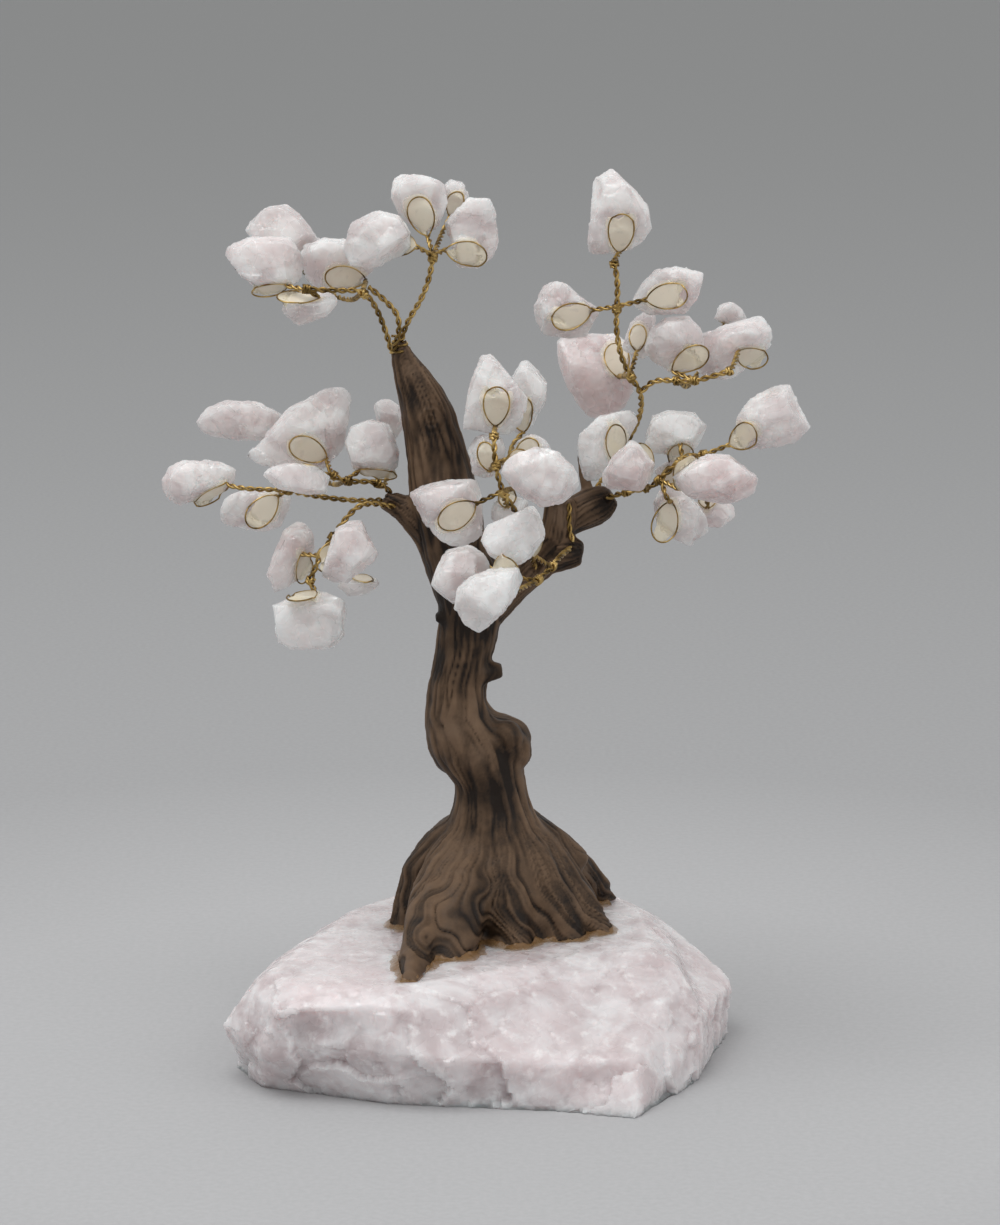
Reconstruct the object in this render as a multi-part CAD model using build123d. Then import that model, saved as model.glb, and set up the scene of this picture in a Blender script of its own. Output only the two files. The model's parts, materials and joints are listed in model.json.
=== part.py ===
from build123d import *
import math
import os

# Gemstone tree: rose-quartz chips on bendable brass sprays, a cast bonsai trunk and a rough quartz slab.
# The origin is on the slab's resting face, under the middle of the crown.
# +Z is up and +Y points away from the viewer.

# Driving sizes in millimetres. The rise of the tree is read on the picture plane of the view given below.
tree_rise = 157.0
crown_width = 111.5
crown_depth = 60.0
trunk_setback = 7.0
trunk_girth = 16.2
slab_length = 88.0
slab_depth = 76.0
slab_thickness = 19.0
chip_length = 14.0
chip_thickness = 9.0
stem_diameter = 1.15
twig_diameter = 0.95
loop_wire_diameter = 0.55
loop_width = 4.6
wire_bend_radius = 3.0
ball_diameter = 1.6
socket_clearance = 0.15
glue_clearance = 0.03
dab_thickness = 0.8
foot_glue_height = 1.0
foot_glue_length = 44.0
foot_glue_depth = 58.0
cut_overrun = 5.0

# The view that the pixel coordinates below are read from
view_tilt = math.radians(17.0)
view_distance = 750.0
axis_column = 487
ground_row = 1042
crown_columns = 655
tree_rows = 882
girth_columns = 95
chip_columns = 82

# Millimetres for one pixel of each measure
column_size = crown_width / crown_columns
row_size = tree_rise * math.cos(view_tilt) / tree_rows
girth_pixel = trunk_girth / girth_columns
chip_pixel = chip_length / chip_columns

view_right = Vector(1, 0, 0)
view_forward = Vector(0, math.cos(view_tilt), -math.sin(view_tilt))
view_up = Vector(0, math.sin(view_tilt), math.cos(view_tilt))
eye = view_forward * -view_distance


def seen_at(column, row, depth_share):
    """Return the point that is seen at a pixel and lies this share of the crown's depth behind the trunk."""
    across = (column - axis_column) * column_size
    above = (ground_row - row) * row_size
    ray = view_forward * view_distance + view_right * across + view_up * above
    depth = trunk_setback + depth_share * crown_depth
    return eye + ray * ((depth - eye.Y) / ray.Y)


def nearness(point):
    """Return how much larger than on the origin's plane a thing at this point must be to look as large."""
    return (point - eye).dot(view_forward) / view_distance


# Trunk and limbs: column, row, depth share and half width in pixels along each, from the foot outwards
trunk_runs = {
    "main": [(503, 975, 0.03, 92), (501, 925, 0.03, 88), (500, 865, 0.02, 68), (490, 820, 0.0, 45),
             (489, 785, 0.0, 36), (476, 752, 0.0, 41), (459, 712, 0.0, 34), (459, 680, 0.0, 29),
             (467, 640, 0.0, 29), (470, 600, 0.0, 33), (458, 560, 0.0, 34)],
    "tall_limb": [(468, 590, 0.0, 28), (452, 540, 0.0, 34), (443, 490, 0.0, 34), (433, 435, 0.0, 29),
                  (417, 385, 0.0, 21), (403, 355, 0.0, 12), (398, 338, 0.0, 9)],
    "left_limb": [(455, 560, 0.0, 24), (428, 530, 0.0, 18), (403, 508, 0.0, 13), (383, 498, 0.0, 10)],
    "right_limb": [(472, 618, 0.0, 24), (503, 597, 0.0, 16), (533, 571, -0.01, 15), (553, 545, -0.02, 17),
                   (560, 518, -0.02, 17), (560, 498, -0.02, 15)],
    "dark_stub": [(556, 532, 0.0, 13), (583, 511, 0.02, 19), (603, 502, 0.03, 17), (614, 496, 0.03, 9)],
    "low_stub": [(548, 560, -0.02, 14), (568, 551, -0.03, 18), (583, 553, -0.03, 11)],
    "thin_spur": [(592, 514, 0.03, 7), (586, 482, 0.05, 5), (580, 453, 0.05, 3)],
    "knee": [(458, 746, 0.0, 24), (490, 744, 0.0, 33), (512, 746, 0.0, 27), (529, 749, 0.0, 12)],
    "trunk_knob": [(468, 676, -0.02, 18), (487, 672, -0.03, 12), (503, 670, -0.03, 8)],
    "leaf_knob": [(462, 622, -0.02, 16), (445, 616, -0.03, 10), (434, 618, -0.03, 5)],
}
root_runs = {
    "front_left_root": [(476, 838, -0.02, 28), (440, 895, -0.14, 28), (420, 945, -0.33, 20),
                        (409, 985, -0.58, 11)],
    "left_root": [(472, 832, 0.02, 26), (428, 868, 0.02, 23), (409, 915, 0.0, 18), (404, 960, -0.03, 16)],
    "right_front_root": [(515, 838, 0.0, 28), (560, 885, -0.02, 26), (592, 925, -0.06, 18),
                         (611, 962, -0.1, 12)],
    "right_back_root": [(515, 835, 0.04, 26), (567, 864, 0.15, 21), (598, 890, 0.25, 14),
                        (612, 915, 0.3, 11)],
    "middle_root": [(493, 838, -0.02, 24), (506, 895, -0.14, 26), (515, 950, -0.2, 19), (518, 985, -0.22, 18)],
    "front_root": [(484, 838, -0.02, 24), (470, 885, -0.13, 30), (455, 935, -0.26, 26), (446, 1005, -0.4, 20)],
    "right_middle_root": [(512, 838, -0.02, 28), (543, 892, -0.08, 29), (566, 945, -0.13, 22),
                          (572, 975, -0.14, 20)],
    "right_shoulder": [(515, 830, 0.03, 26), (556, 848, 0.05, 20), (580, 866, 0.06, 14)],
    "back_root": [(490, 832, 0.04, 28), (474, 868, 0.26, 27), (455, 905, 0.4, 16)],
}

# Sprays: the socket in the bark, and the routes of the twisted stems in columns, rows and depth shares.
# The first route starts in the socket. Any other starts at a fork, given as a route and a point of it.
spray_sockets = {
    "upper_left": (391, 348, -0.02),
    "crown": (400, 338, 0.0),
    "left_high": (390, 491, 0.0),
    "left_tip": (382, 499, 0.01),
    "left_low": (394, 506, -0.03),
    "middle": (535, 567, -0.05),
    "middle_low": (570, 548, -0.075),
    "right_high": (597, 488, 0.05),
    "right": (608, 497, -0.005),
}
spray_routes = {
    "upper_left": [[(380, 312, -0.05), (364, 286, -0.09), (335, 287, -0.1), (303, 285, -0.115)]],
    "crown": [[(407, 318, -0.03), (420, 298, -0.04), (429, 275, -0.05), (433, 251, -0.05)]],
    "left_high": [[(377, 480, -0.04), (345, 481, -0.05), (331, 473, -0.06)]],
    "left_tip": [[(360, 500, 0.05), (335, 498, 0.04), (308, 494, 0.02), (286, 489, -0.02)]],
    "left_low": [[(362, 501, -0.1), (344, 519, -0.12), (331, 539, -0.12), (320, 555, -0.12),
                 (309, 583, -0.12)]],
    "middle": [[(527, 538, -0.2), (517, 512, -0.3), (502, 491, -0.33), (495, 462, -0.32),
               (494, 432, -0.3)]],
    "middle_low": [[(560, 556, -0.18), (552, 567, -0.24), (537, 581, -0.3)]],
    "right_high": [
        [(613, 462, 0.14), (632, 434, 0.12), (642, 411, 0.06), (642, 390, 0.0), (631, 374, -0.02),
         (621, 352, -0.03), (617, 326, -0.03), (618, 303, -0.03), (619, 278, -0.03), (615, 257, -0.03)],
        [(0, 3), (655, 377, -0.02), (680, 379, -0.05), (698, 379, -0.06), (733, 368, -0.06)],
    ],
    "right": [[(628, 490, -0.06), (648, 488, -0.1), (661, 479, -0.12), (682, 457, -0.1),
              (707, 453, -0.08)]],
}

# Chip forms: front face and back face as shares of the outline, front and back as shares of the thickness
chip_form_shares = {
    "rough": (0.62, 0.55, 0.5, 0.5),
    "blocky": (0.8, 0.72, 0.5, 0.5),
    "pointed": (0.42, 0.45, 0.55, 0.5),
    "small": (0.6, 0.55, 0.36, 0.36),
}
# A small chip's loop as a share of the usual width
small_loop_share = 0.68
# Share of the way from a chip's middle plane to its skin at which the seat for the loop is flat
seat_share = 0.6
# A seat that faces its fork leans this share of the way to or from the viewer.
# It leans up instead if the fork is nearly straight ahead or behind.
seat_lean_share = 0.7
depthwise_limit_share = 0.75

chips = []


def chip(node, spray, outline, depth_share, fork, loop, facing=None, turn=0.0, form="rough", via=()):
    """List one chip by its outline in pixels, its fork, and the pixel that its wire loop is seen at."""
    chips.append(dict(node=node, spray=spray, outline=outline, depth_share=depth_share, fork=fork, loop=loop,
                      facing=facing, turn=turn, form=form, via=via))


# Upper left spray
chip("upper_left_chip_1", "upper_left",
     [(219, 264), (226, 243), (246, 232), (288, 232), (303, 252), (301, 280), (265, 292), (226, 281)],
     -0.03, (0, 3), (272, 276), facing=(0, -0.5, -0.87), turn=8)
chip("upper_left_chip_2", "upper_left",
     [(243, 228), (250, 213), (268, 199), (286, 199), (306, 216), (320, 236), (300, 252), (252, 248)],
     0.2, (0, 1), (285, 238), turn=-12, via=[(350, 299, 0.1), (312, 282, 0.25)])
chip("upper_left_chip_3", "upper_left",
     [(296, 262), (303, 241), (322, 233), (345, 236), (368, 250), (372, 266), (352, 287), (310, 284)],
     0.1, (0, 1), (353, 272), facing=(0.25, -0.93, -0.25))
chip("upper_left_chip_4", "upper_left",
     [(277, 294), (300, 287), (330, 285), (336, 300), (325, 312), (297, 321), (285, 311)],
     -0.08, (0, 3), (308, 306), facing=(0, -0.35, 0.93), turn=-10)

# Crown spray
chip("crown_chip_1", "crown",
     [(342, 244), (351, 220), (378, 204), (398, 208), (411, 228), (412, 244), (382, 263), (350, 262)],
     -0.1, (0, 3), (395, 236), turn=14)
chip("crown_chip_2", "crown",
     [(390, 190), (393, 173), (405, 164), (430, 166), (444, 177), (447, 196), (438, 222),
      (424, 229), (404, 218)],
     0.07, (0, 3), (421, 209), facing=(0.1, -0.95, -0.25))
chip("crown_chip_3", "crown",
     [(444, 180), (455, 169), (466, 178), (468, 196), (461, 210), (446, 211)],
     0.22, (0, 3), (455, 200), form="small", via=[(442, 228, 0.14)])
chip("crown_chip_4", "crown",
     [(446, 218), (456, 205), (469, 193), (490, 193), (496, 206), (498, 235), (493, 251),
      (479, 262), (458, 262)],
     0.07, (0, 3), (466, 243), facing=(-0.15, -0.97, -0.15), form="blocky")

# Upper spray of the left limb
chip("left_high_chip_1", "left_high",
     [(196, 421), (206, 407), (226, 399), (256, 400), (281, 411), (288, 425), (266, 440),
      (226, 441), (203, 434)],
     0.2, (0, 1), (262, 424), turn=10, via=[(332, 486, 0.22), (285, 455, 0.26)])
chip("left_high_chip_2", "left_high",
     [(240, 460), (286, 408), (325, 386), (344, 385), (351, 394), (344, 448), (322, 474), (262, 473)],
     0.08, (0, 2), (310, 444), facing=(0.1, -0.97, -0.2), form="pointed")
chip("left_high_chip_3", "left_high",
     [(346, 442), (352, 426), (370, 419), (388, 423), (394, 436), (398, 452), (396, 466),
      (382, 477), (356, 475)],
     0.02, (0, 1), (374, 464), facing=(0, -0.5, -0.87), turn=-8, form="blocky")
chip("left_high_small_chips", "left_high",
     [(258, 469), (290, 461), (324, 465), (335, 480), (333, 490), (310, 495), (278, 488)],
     -0.13, (0, 2), (312, 478), facing=(0.25, 0.45, 0.85), form="small")
chip("left_high_small_chips", "left_high",
     [(371, 402), (388, 396), (400, 405), (404, 425), (394, 440), (377, 424)],
     0.2, (0, 0), (389, 424), form="small", via=[(385, 488, 0.13), (390, 460, 0.22)])

# Tip spray of the left limb
chip("left_tip_chip_1", "left_tip",
     [(161, 479), (168, 466), (183, 459), (220, 461), (235, 468), (232, 485), (210, 500),
      (180, 504), (164, 496)],
     0.0, (0, 3), (212, 486), facing=(0.35, -0.55, -0.75), via=[(246, 488, -0.06)])
chip("left_tip_chip_2", "left_tip",
     [(216, 500), (240, 490), (284, 488), (298, 496), (286, 512), (280, 526), (262, 531), (222, 523)],
     0.08, (0, 3), (262, 508), facing=(0.2, -0.95, 0.2), turn=-6)

# Low spray of the left limb
chip("left_low_chip_1", "left_low",
     [(267, 575), (275, 550), (284, 530), (296, 522), (310, 523), (317, 536), (311, 556),
      (295, 586), (279, 600)],
     -0.02, (0, 3), (298, 562), facing=(0.8, -0.5, -0.3), turn=12)
chip("left_low_twin_chips", "left_low",
     [(322, 573), (332, 540), (337, 521), (364, 520), (381, 535), (383, 543), (374, 561),
      (346, 583), (326, 582)],
     -0.26, (0, 2), (345, 548), facing=(-0.5, 0.86, 0), turn=-10)
chip("left_low_twin_chips", "left_low",
     [(338, 585), (348, 575), (370, 572), (379, 583), (368, 593), (348, 594)],
     -0.12, (0, 2), (360, 583), facing=(0, -0.2, 0.98), form="small", via=[(350, 558, -0.1)])
chip("left_low_chip_2", "left_low",
     [(272, 626), (274, 601), (285, 593), (306, 588), (330, 592), (347, 601), (343, 636),
      (332, 648), (290, 650), (274, 640)],
     -0.15, (0, 4), (309, 600), facing=(0, -0.1, 0.99), turn=6, form="blocky")

# Middle spray
chip("middle_chip_1", "middle",
     [(462, 425), (464, 396), (472, 370), (485, 345), (500, 362), (519, 374), (527, 396),
      (525, 425), (502, 435)],
     -0.18, (0, 4), (496, 407), facing=(0, -0.97, -0.25))
chip("middle_chip_2", "middle",
     [(513, 372), (522, 358), (540, 357), (548, 369), (545, 396), (533, 415), (524, 436), (514, 430)],
     -0.02, (0, 3), (525, 415), turn=-14, via=[(510, 462, -0.2), (511, 445, -0.1)])
chip("middle_chip_3", "middle",
     [(502, 472), (508, 449), (530, 443), (560, 450), (575, 465), (583, 485), (560, 502),
      (541, 505), (516, 491)],
     -0.54, (0, 2), (520, 478), turn=9)
chip("middle_chip_4", "middle",
     [(410, 493), (426, 484), (475, 475), (482, 500), (484, 540), (470, 549), (441, 545), (425, 522)],
     -0.24, (0, 2), (459, 509), facing=(0.1, -0.99, 0))
chip("middle_small_chips", "middle",
     [(468, 442), (480, 433), (500, 434), (505, 450), (501, 470), (489, 476), (472, 473)],
     -0.2, (0, 3), (485, 460), facing=(0.2, -0.95, 0), form="small")
chip("middle_small_chips", "middle",
     [(515, 442), (530, 432), (545, 438), (553, 450), (540, 458), (520, 455)],
     -0.22, (0, 3), (528, 448), form="small")
chip("middle_small_chips", "middle",
     [(490, 507), (505, 492), (527, 500), (530, 514), (511, 522), (493, 520)],
     -0.18, (0, 2), (508, 508), form="small")

# Low spray of the middle
chip("middle_low_chip_1", "middle_low",
     [(482, 541), (487, 526), (520, 512), (536, 505), (542, 513), (545, 541), (526, 562),
      (510, 566), (490, 556)],
     -0.42, (0, 1), (526, 546), turn=-8, form="blocky")
chip("middle_low_chip_2", "middle_low",
     [(429, 590), (435, 570), (446, 550), (470, 545), (486, 555), (492, 564), (489, 577),
      (470, 600), (446, 604)],
     -0.34, (0, 2), (475, 572))
chip("middle_low_chip_3", "middle_low",
     [(455, 611), (457, 590), (470, 576), (500, 567), (520, 563), (525, 576), (515, 596),
      (500, 616), (478, 634), (462, 626)],
     -0.52, (0, 2), (504, 588), turn=10)

# Upper spray of the right limb
chip("right_high_chip_1", "right_high",
     [(588, 250), (592, 210), (593, 176), (613, 161), (635, 182), (649, 200), (652, 225),
      (640, 243), (610, 255)],
     0.08, (0, 9), (621, 232), facing=(0, -0.95, -0.3))
chip("right_high_chip_2", "right_high",
     [(527, 310), (540, 290), (550, 276), (560, 273), (576, 290), (598, 305), (600, 320),
      (590, 335), (570, 338), (546, 332)],
     0.06, (0, 7), (572, 309), facing=(0.2, -0.97, 0))
chip("right_high_chip_3", "right_high",
     [(632, 300), (645, 278), (662, 262), (680, 263), (712, 270), (700, 295), (685, 310), (650, 312)],
     0.06, (0, 7), (668, 291), facing=(-0.2, -0.97, 0))
chip("right_high_chip_4", "right_high",
     [(555, 336), (566, 330), (610, 318), (628, 335), (637, 370), (636, 400), (602, 420),
      (588, 412), (565, 386)],
     0.28, (0, 4), (616, 372), turn=-6)
chip("right_high_chip_5", "right_high",
     [(645, 346), (652, 325), (665, 314), (690, 313), (705, 330), (706, 350), (698, 367),
      (676, 374), (655, 361)],
     0.05, (1, 3), (682, 358), facing=(0, -0.95, -0.3))
chip("right_high_chip_6", "right_high",
     [(698, 388), (697, 374), (703, 331), (721, 318), (745, 311), (770, 314), (784, 325),
      (778, 341), (762, 353), (735, 380)],
     0.13, (1, 4), (748, 348), facing=(0.3, -0.75, -0.6), form="pointed")
chip("right_high_small_chips", "right_high",
     [(622, 345), (632, 320), (646, 305), (656, 313), (660, 345), (645, 357), (628, 350)],
     0.18, (0, 4), (641, 342), form="small")
chip("right_high_small_chips", "right_high",
     [(716, 316), (722, 303), (732, 299), (745, 308), (748, 318), (726, 321)],
     0.3, (1, 2), (732, 312), form="small", via=[(690, 388, 0.16), (712, 348, 0.3)])

# Spray of the right limb's tip
chip("right_chip_1", "right",
     [(578, 450), (580, 435), (600, 415), (620, 410), (637, 407), (640, 420), (621, 450),
      (601, 478), (586, 481)],
     -0.03, (0, 0), (612, 446), facing=(0.6, -0.8, 0), turn=-10, form="blocky")
chip("right_chip_2", "right",
     [(598, 481), (610, 460), (632, 438), (641, 442), (660, 470), (660, 480), (646, 491), (610, 488)],
     -0.22, (0, 1), (640, 470), form="pointed")
chip("right_chip_3", "right",
     [(641, 430), (650, 416), (668, 409), (700, 412), (709, 420), (701, 441), (689, 457),
      (656, 455), (642, 445)],
     0.0, (0, 3), (680, 440), facing=(0.1, -0.6, -0.8))
chip("right_chip_4", "right",
     [(731, 430), (745, 405), (765, 386), (779, 377), (792, 380), (800, 405), (815, 428),
      (800, 440), (742, 453)],
     -0.05, (0, 4), (750, 434), turn=8, form="pointed")
chip("right_chip_5", "right",
     [(672, 476), (690, 461), (715, 452), (745, 455), (759, 475), (755, 492), (726, 505), (690, 498)],
     -0.25, (0, 2), (688, 478))
chip("right_chip_6", "right",
     [(654, 502), (663, 485), (685, 490), (705, 515), (712, 535), (690, 546), (670, 535), (657, 521)],
     -0.08, (0, 2), (669, 517), facing=(-0.2, -0.95, 0.1), via=[(668, 500, -0.18)])
chip("right_small_chips", "right",
     [(655, 470), (665, 461), (690, 459), (700, 469), (690, 481), (663, 481)],
     0.03, (0, 2), (673, 471), facing=(-0.2, -0.9, -0.4), form="small")
chip("right_small_chips", "right",
     [(690, 507), (705, 497), (730, 500), (740, 512), (720, 528), (699, 525)],
     0.14, (0, 4), (708, 508), form="small")


def chip_rings(chip_row):
    """Return a chip's middle, and its middle, front and back rings of corners."""
    outline = chip_row["outline"]
    columns = [column for column, row in outline]
    rows = [row for column, row in outline]
    middle_column = (min(columns) + max(columns)) / 2
    middle_row = (min(rows) + max(rows)) / 2
    middle = seen_at(middle_column, middle_row, chip_row["depth_share"])
    turn = math.radians(chip_row["turn"])
    across = view_right * math.cos(turn) + view_forward * math.sin(turn)
    outward = across.cross(view_up)
    size = chip_pixel * nearness(middle)
    ring = []
    for column, row in outline:
        sideways = across * ((column - middle_column) * size / math.cos(turn))
        ring.append(middle + sideways + view_up * ((middle_row - row) * size))
    front_share, back_share, front_thick_share, back_thick_share = chip_form_shares[chip_row["form"]]
    to_front = outward * (front_thick_share * chip_thickness)
    to_back = outward * (-back_thick_share * chip_thickness)
    front = [middle + (corner - middle) * front_share + to_front for corner in ring]
    back = [middle + (corner - middle) * back_share + to_back for corner in ring]
    return middle, ring, front, back


def chip_skins(middle, ring, front, back):
    """Return each flat side of a chip as a list of corners."""
    skins = [front, back]
    count = len(ring)
    for index in range(count):
        following = (index + 1) % count
        skins.append([ring[index], ring[following], front[following], front[index]])
        skins.append([ring[index], ring[following], back[following], back[index]])
    return skins


def reach_of_skin(start, direction, middle, skins):
    """Return the distance from a point inside a chip to its skin along a direction."""
    reach = math.inf
    for corners in skins:
        normal = (corners[1] - corners[0]).cross(corners[2] - corners[1])
        if normal.dot(corners[0] - middle) < 0:
            normal = normal * -1
        closing = normal.dot(direction)
        if closing > 0:
            reach = min(reach, normal.dot(corners[0] - start) / closing)
    return reach


def route_points(spray):
    """Return the points of each of a spray's stems, the first from the socket's centre."""
    routes = []
    for listed in spray_routes[spray]:
        if routes:
            from_route, from_point = listed[0]
            start = routes[from_route][from_point + 1]
            routes.append([start] + [seen_at(*place) for place in listed[1:]])
        else:
            routes.append([seen_at(*spray_sockets[spray])] + [seen_at(*place) for place in listed])
    return routes


def fork_stretch(spray, fork):
    """Return a fork's place on its route, and the point before it."""
    route, point = fork
    place = point + 1 if route == 0 else point
    points = route_points(spray)[route]
    return [points[place], points[place - 1]]


def loop_radius(chip_row):
    """Return the radius of a chip's wire loop, to the middle of the wire."""
    return loop_width / 2 * (small_loop_share if chip_row["form"] == "small" else 1)


def chip_seat(chip_row):
    """Return a seat's centre and facing, the loop's centre and tail direction, and the twig's points."""
    middle, ring, front, back = chip_rings(chip_row)
    skins = chip_skins(middle, ring, front, back)
    fork = fork_stretch(chip_row["spray"], chip_row["fork"])[0]
    bends = [seen_at(*place) for place in chip_row["via"]]
    toward = bends[-1] if bends else fork
    loop_spot = seen_at(*chip_row["loop"], chip_row["depth_share"])
    if chip_row["facing"]:
        facing = Vector(*chip_row["facing"]).normalized()
    else:
        lead = (toward - loop_spot).normalized()
        depthwise = view_forward if lead.dot(view_forward) > 0 else view_forward * -1
        lean = view_up if lead.dot(depthwise) > depthwise_limit_share else depthwise
        facing = (lead + lean * seat_lean_share).normalized()
    seat = loop_spot + facing * (seat_share * reach_of_skin(loop_spot, facing, middle, skins))
    loop_middle = seat + facing * (twig_diameter / 2 + glue_clearance)
    lead = toward - loop_middle
    tail = (lead - facing * lead.dot(facing)).normalized()
    twig = [loop_middle + tail * loop_radius(chip_row)] + bends[::-1] + [fork]
    return seat, facing, loop_middle, tail, twig


# Slab rings from the resting face up: corners as shares of its length, depth and thickness
slab_bottom_shares = [
    (-0.48, -0.16, 0), (-0.42, -0.315, 0), (-0.18, -0.435, 0), (-0.07, -0.46, 0), (0.11, -0.485, 0),
    (0.27, -0.54, 0), (0.39, -0.29, 0), (0.465, 0.065, 0), (0.285, 0.435, 0), (-0.16, 0.42, 0),
    (-0.32, 0.235, 0), (-0.445, -0.05, 0),
]
slab_belly_shares = [
    (-0.5, -0.26, 0.45), (-0.42, -0.41, 0.42), (-0.18, -0.5, 0.5), (-0.07, -0.5, 0.46), (0.1, -0.485, 0.4),
    (0.27, -0.475, 0.42), (0.41, -0.235, 0.5), (0.48, 0.105, 0.48), (0.3, 0.475, 0.45), (-0.17, 0.46, 0.5),
    (-0.34, 0.265, 0.46), (-0.455, -0.025, 0.5),
]
slab_rim_shares = [
    (-0.45, -0.3, 0.86), (-0.375, -0.45, 0.84), (-0.17, -0.47, 0.88), (-0.07, -0.42, 0.86),
    (0.08, -0.315, 0.9), (0.23, -0.21, 0.92), (0.365, -0.17, 0.9), (0.35, 0.265, 0.85),
    (0.24, 0.485, 0.87), (-0.18, 0.45, 0.88), (-0.31, 0.25, 0.85), (-0.4, -0.065, 0.87),
]
slab_top_shares = [
    (-0.41, -0.29, 1), (-0.35, -0.39, 1), (-0.17, -0.41, 1), (-0.08, -0.36, 1), (0.07, -0.24, 1),
    (0.22, -0.125, 1), (0.32, -0.145, 1), (0.3, 0.24, 1), (0.2, 0.45, 1), (-0.16, 0.39, 1),
    (-0.26, 0.22, 1), (-0.35, -0.08, 1),
]
# Outline of the glue round the foot, as shares of its length and depth about the trunk's axis
foot_glue_shares = [
    (-0.49, -0.17), (-0.48, -0.48), (-0.42, -0.63), (-0.31, -0.64), (-0.2, -0.54), (-0.02, -0.31),
    (0.21, -0.28), (0.44, -0.24), (0.51, -0.13), (0.42, 0.02), (0.44, 0.2), (0.21, 0.31),
    (-0.06, 0.33), (-0.29, 0.27), (-0.45, 0.07),
]
foot_column = 503
# Share of the shorter run beside a bend that the bend's arc takes up at most
bend_share = 0.3
# Top of a glue dab as a share of its width, and the knot at a fork as a share of the stem's width
dab_top_share = 0.7
knot_share = 1.15


def flat_side(corners):
    """Return the flat face with these corners."""
    return Face(Wire.make_polygon(corners))


def slab():
    """Return the rough slab: rings of corners joined by triangles, with a flat top and resting face."""
    rings = []
    for shares in (slab_bottom_shares, slab_belly_shares, slab_rim_shares, slab_top_shares):
        rings.append([Vector(x * slab_length, y * slab_depth, z * slab_thickness) for x, y, z in shares])
    sides = [flat_side(rings[0]), flat_side(rings[-1])]
    count = len(rings[0])
    for lower, upper in zip(rings, rings[1:]):
        for index in range(count):
            following = (index + 1) % count
            sides.append(flat_side([lower[index], lower[following], upper[following]]))
            sides.append(flat_side([lower[index], upper[following], upper[index]]))
    return Solid(Shell(sides))


def limb(places):
    """Return a tapering round limb through places given by column, row, depth share and half width."""
    points = [seen_at(column, row, depth_share) for column, row, depth_share, half_width in places]
    sections = []
    for index, point in enumerate(points):
        along = points[min(index + 1, len(points) - 1)] - points[max(index - 1, 0)]
        radius = places[index][3] * girth_pixel * nearness(point)
        sections.append(Plane(origin=point, x_dir=along.cross(view_forward), z_dir=along) * Circle(radius))
    return loft(sections)


def knot(points, diameter):
    """Return a ball at the first of a route's points, with its pole along the route."""
    return Plane(origin=points[0], z_dir=points[1] - points[0]) * Sphere(diameter / 2)


def trunk():
    """Return the trunk with its limbs, its roots, its flat foot, and a socket for each spray."""
    limbs = [limb(places) for runs in (trunk_runs, root_runs) for places in runs.values()]
    wood = limbs[0]
    for piece in limbs[1:]:
        wood = wood + piece
    below = Pos(0, 0, slab_thickness / 2) * Box(slab_length * 2, slab_depth * 2, slab_thickness)
    below = below + Pos(0, 0, -cut_overrun / 2) * Box(slab_length * 2, slab_depth * 2, cut_overrun)
    wood = wood - below
    for spray in spray_sockets:
        wood = wood - knot(route_points(spray)[0], ball_diameter + 2 * socket_clearance)
    return wood


def foot_glue(wood):
    """Return the bead of glue on the slab round the trunk's foot."""
    foot_x = (foot_column - axis_column) * column_size
    edge = []
    for x_share, y_share in foot_glue_shares:
        edge.append((foot_x + x_share * foot_glue_length, trunk_setback + y_share * foot_glue_depth))
    pad = make_face(Spline(*edge, periodic=True))
    return Pos(0, 0, slab_thickness) * extrude(pad, foot_glue_height) - wood


def chip_solid(chip_row):
    """Return a chip with a flat seat for its loop."""
    middle, ring, front, back = chip_rings(chip_row)
    seat, facing = chip_seat(chip_row)[:2]
    stone = Solid(Shell([flat_side(corners) for corners in chip_skins(middle, ring, front, back)]))
    return split(stone, bisect_by=Plane(origin=seat, z_dir=facing), keep=Keep.BOTTOM)


def bend_radii(points):
    """Return the radius of the bend at each inner point of a wire's route."""
    radii = []
    for before, corner, after in zip(points, points[1:], points[2:]):
        turn = math.radians((corner - before).get_angle(after - corner))
        shorter = min((corner - before).length, (after - corner).length)
        radii.append(min(wire_bend_radius, bend_share * shorter / math.tan(turn / 2)))
    return radii


def tube(points, diameter):
    """Return a round wire along a route."""
    if len(points) > 2:
        path = FilletPolyline(*points, radius=bend_radii(points))
    else:
        path = Line(*points)
    section = Plane(origin=points[0], z_dir=points[1] - points[0]) * Circle(diameter / 2)
    return sweep(section, path=path)


def spray_wire(spray):
    """Return a spray's brass: the ball in the socket, the stems, and a twig and loop for each chip."""
    routes = route_points(spray)
    brass = knot(routes[0], ball_diameter)
    for route in routes:
        brass = brass + tube(route, stem_diameter)
    for fork in sorted({chip_row["fork"] for chip_row in chips if chip_row["spray"] == spray}):
        brass = brass + knot(fork_stretch(spray, fork), stem_diameter * knot_share)
    for chip_row in chips:
        if chip_row["spray"] == spray:
            seat, facing, loop_middle, tail, twig = chip_seat(chip_row)
            loop_plane = Plane(origin=loop_middle, x_dir=tail, z_dir=facing)
            brass = brass + loop_plane * Torus(loop_radius(chip_row), loop_wire_diameter / 2)
            brass = brass + tube(twig, twig_diameter)
    return brass


def spray_glue(spray):
    """Return the dabs of glue on a spray's chips, one inside each loop."""
    dabs = []
    for chip_row in chips:
        if chip_row["spray"] == spray:
            seat, facing = chip_seat(chip_row)[:2]
            base_radius = loop_radius(chip_row) - twig_diameter / 2 - glue_clearance
            dab = Cone(base_radius, base_radius * dab_top_share, dab_thickness)
            dabs.append(Plane(origin=seat + facing * (dab_thickness / 2), z_dir=facing) * dab)
    return Compound(dabs)


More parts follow.
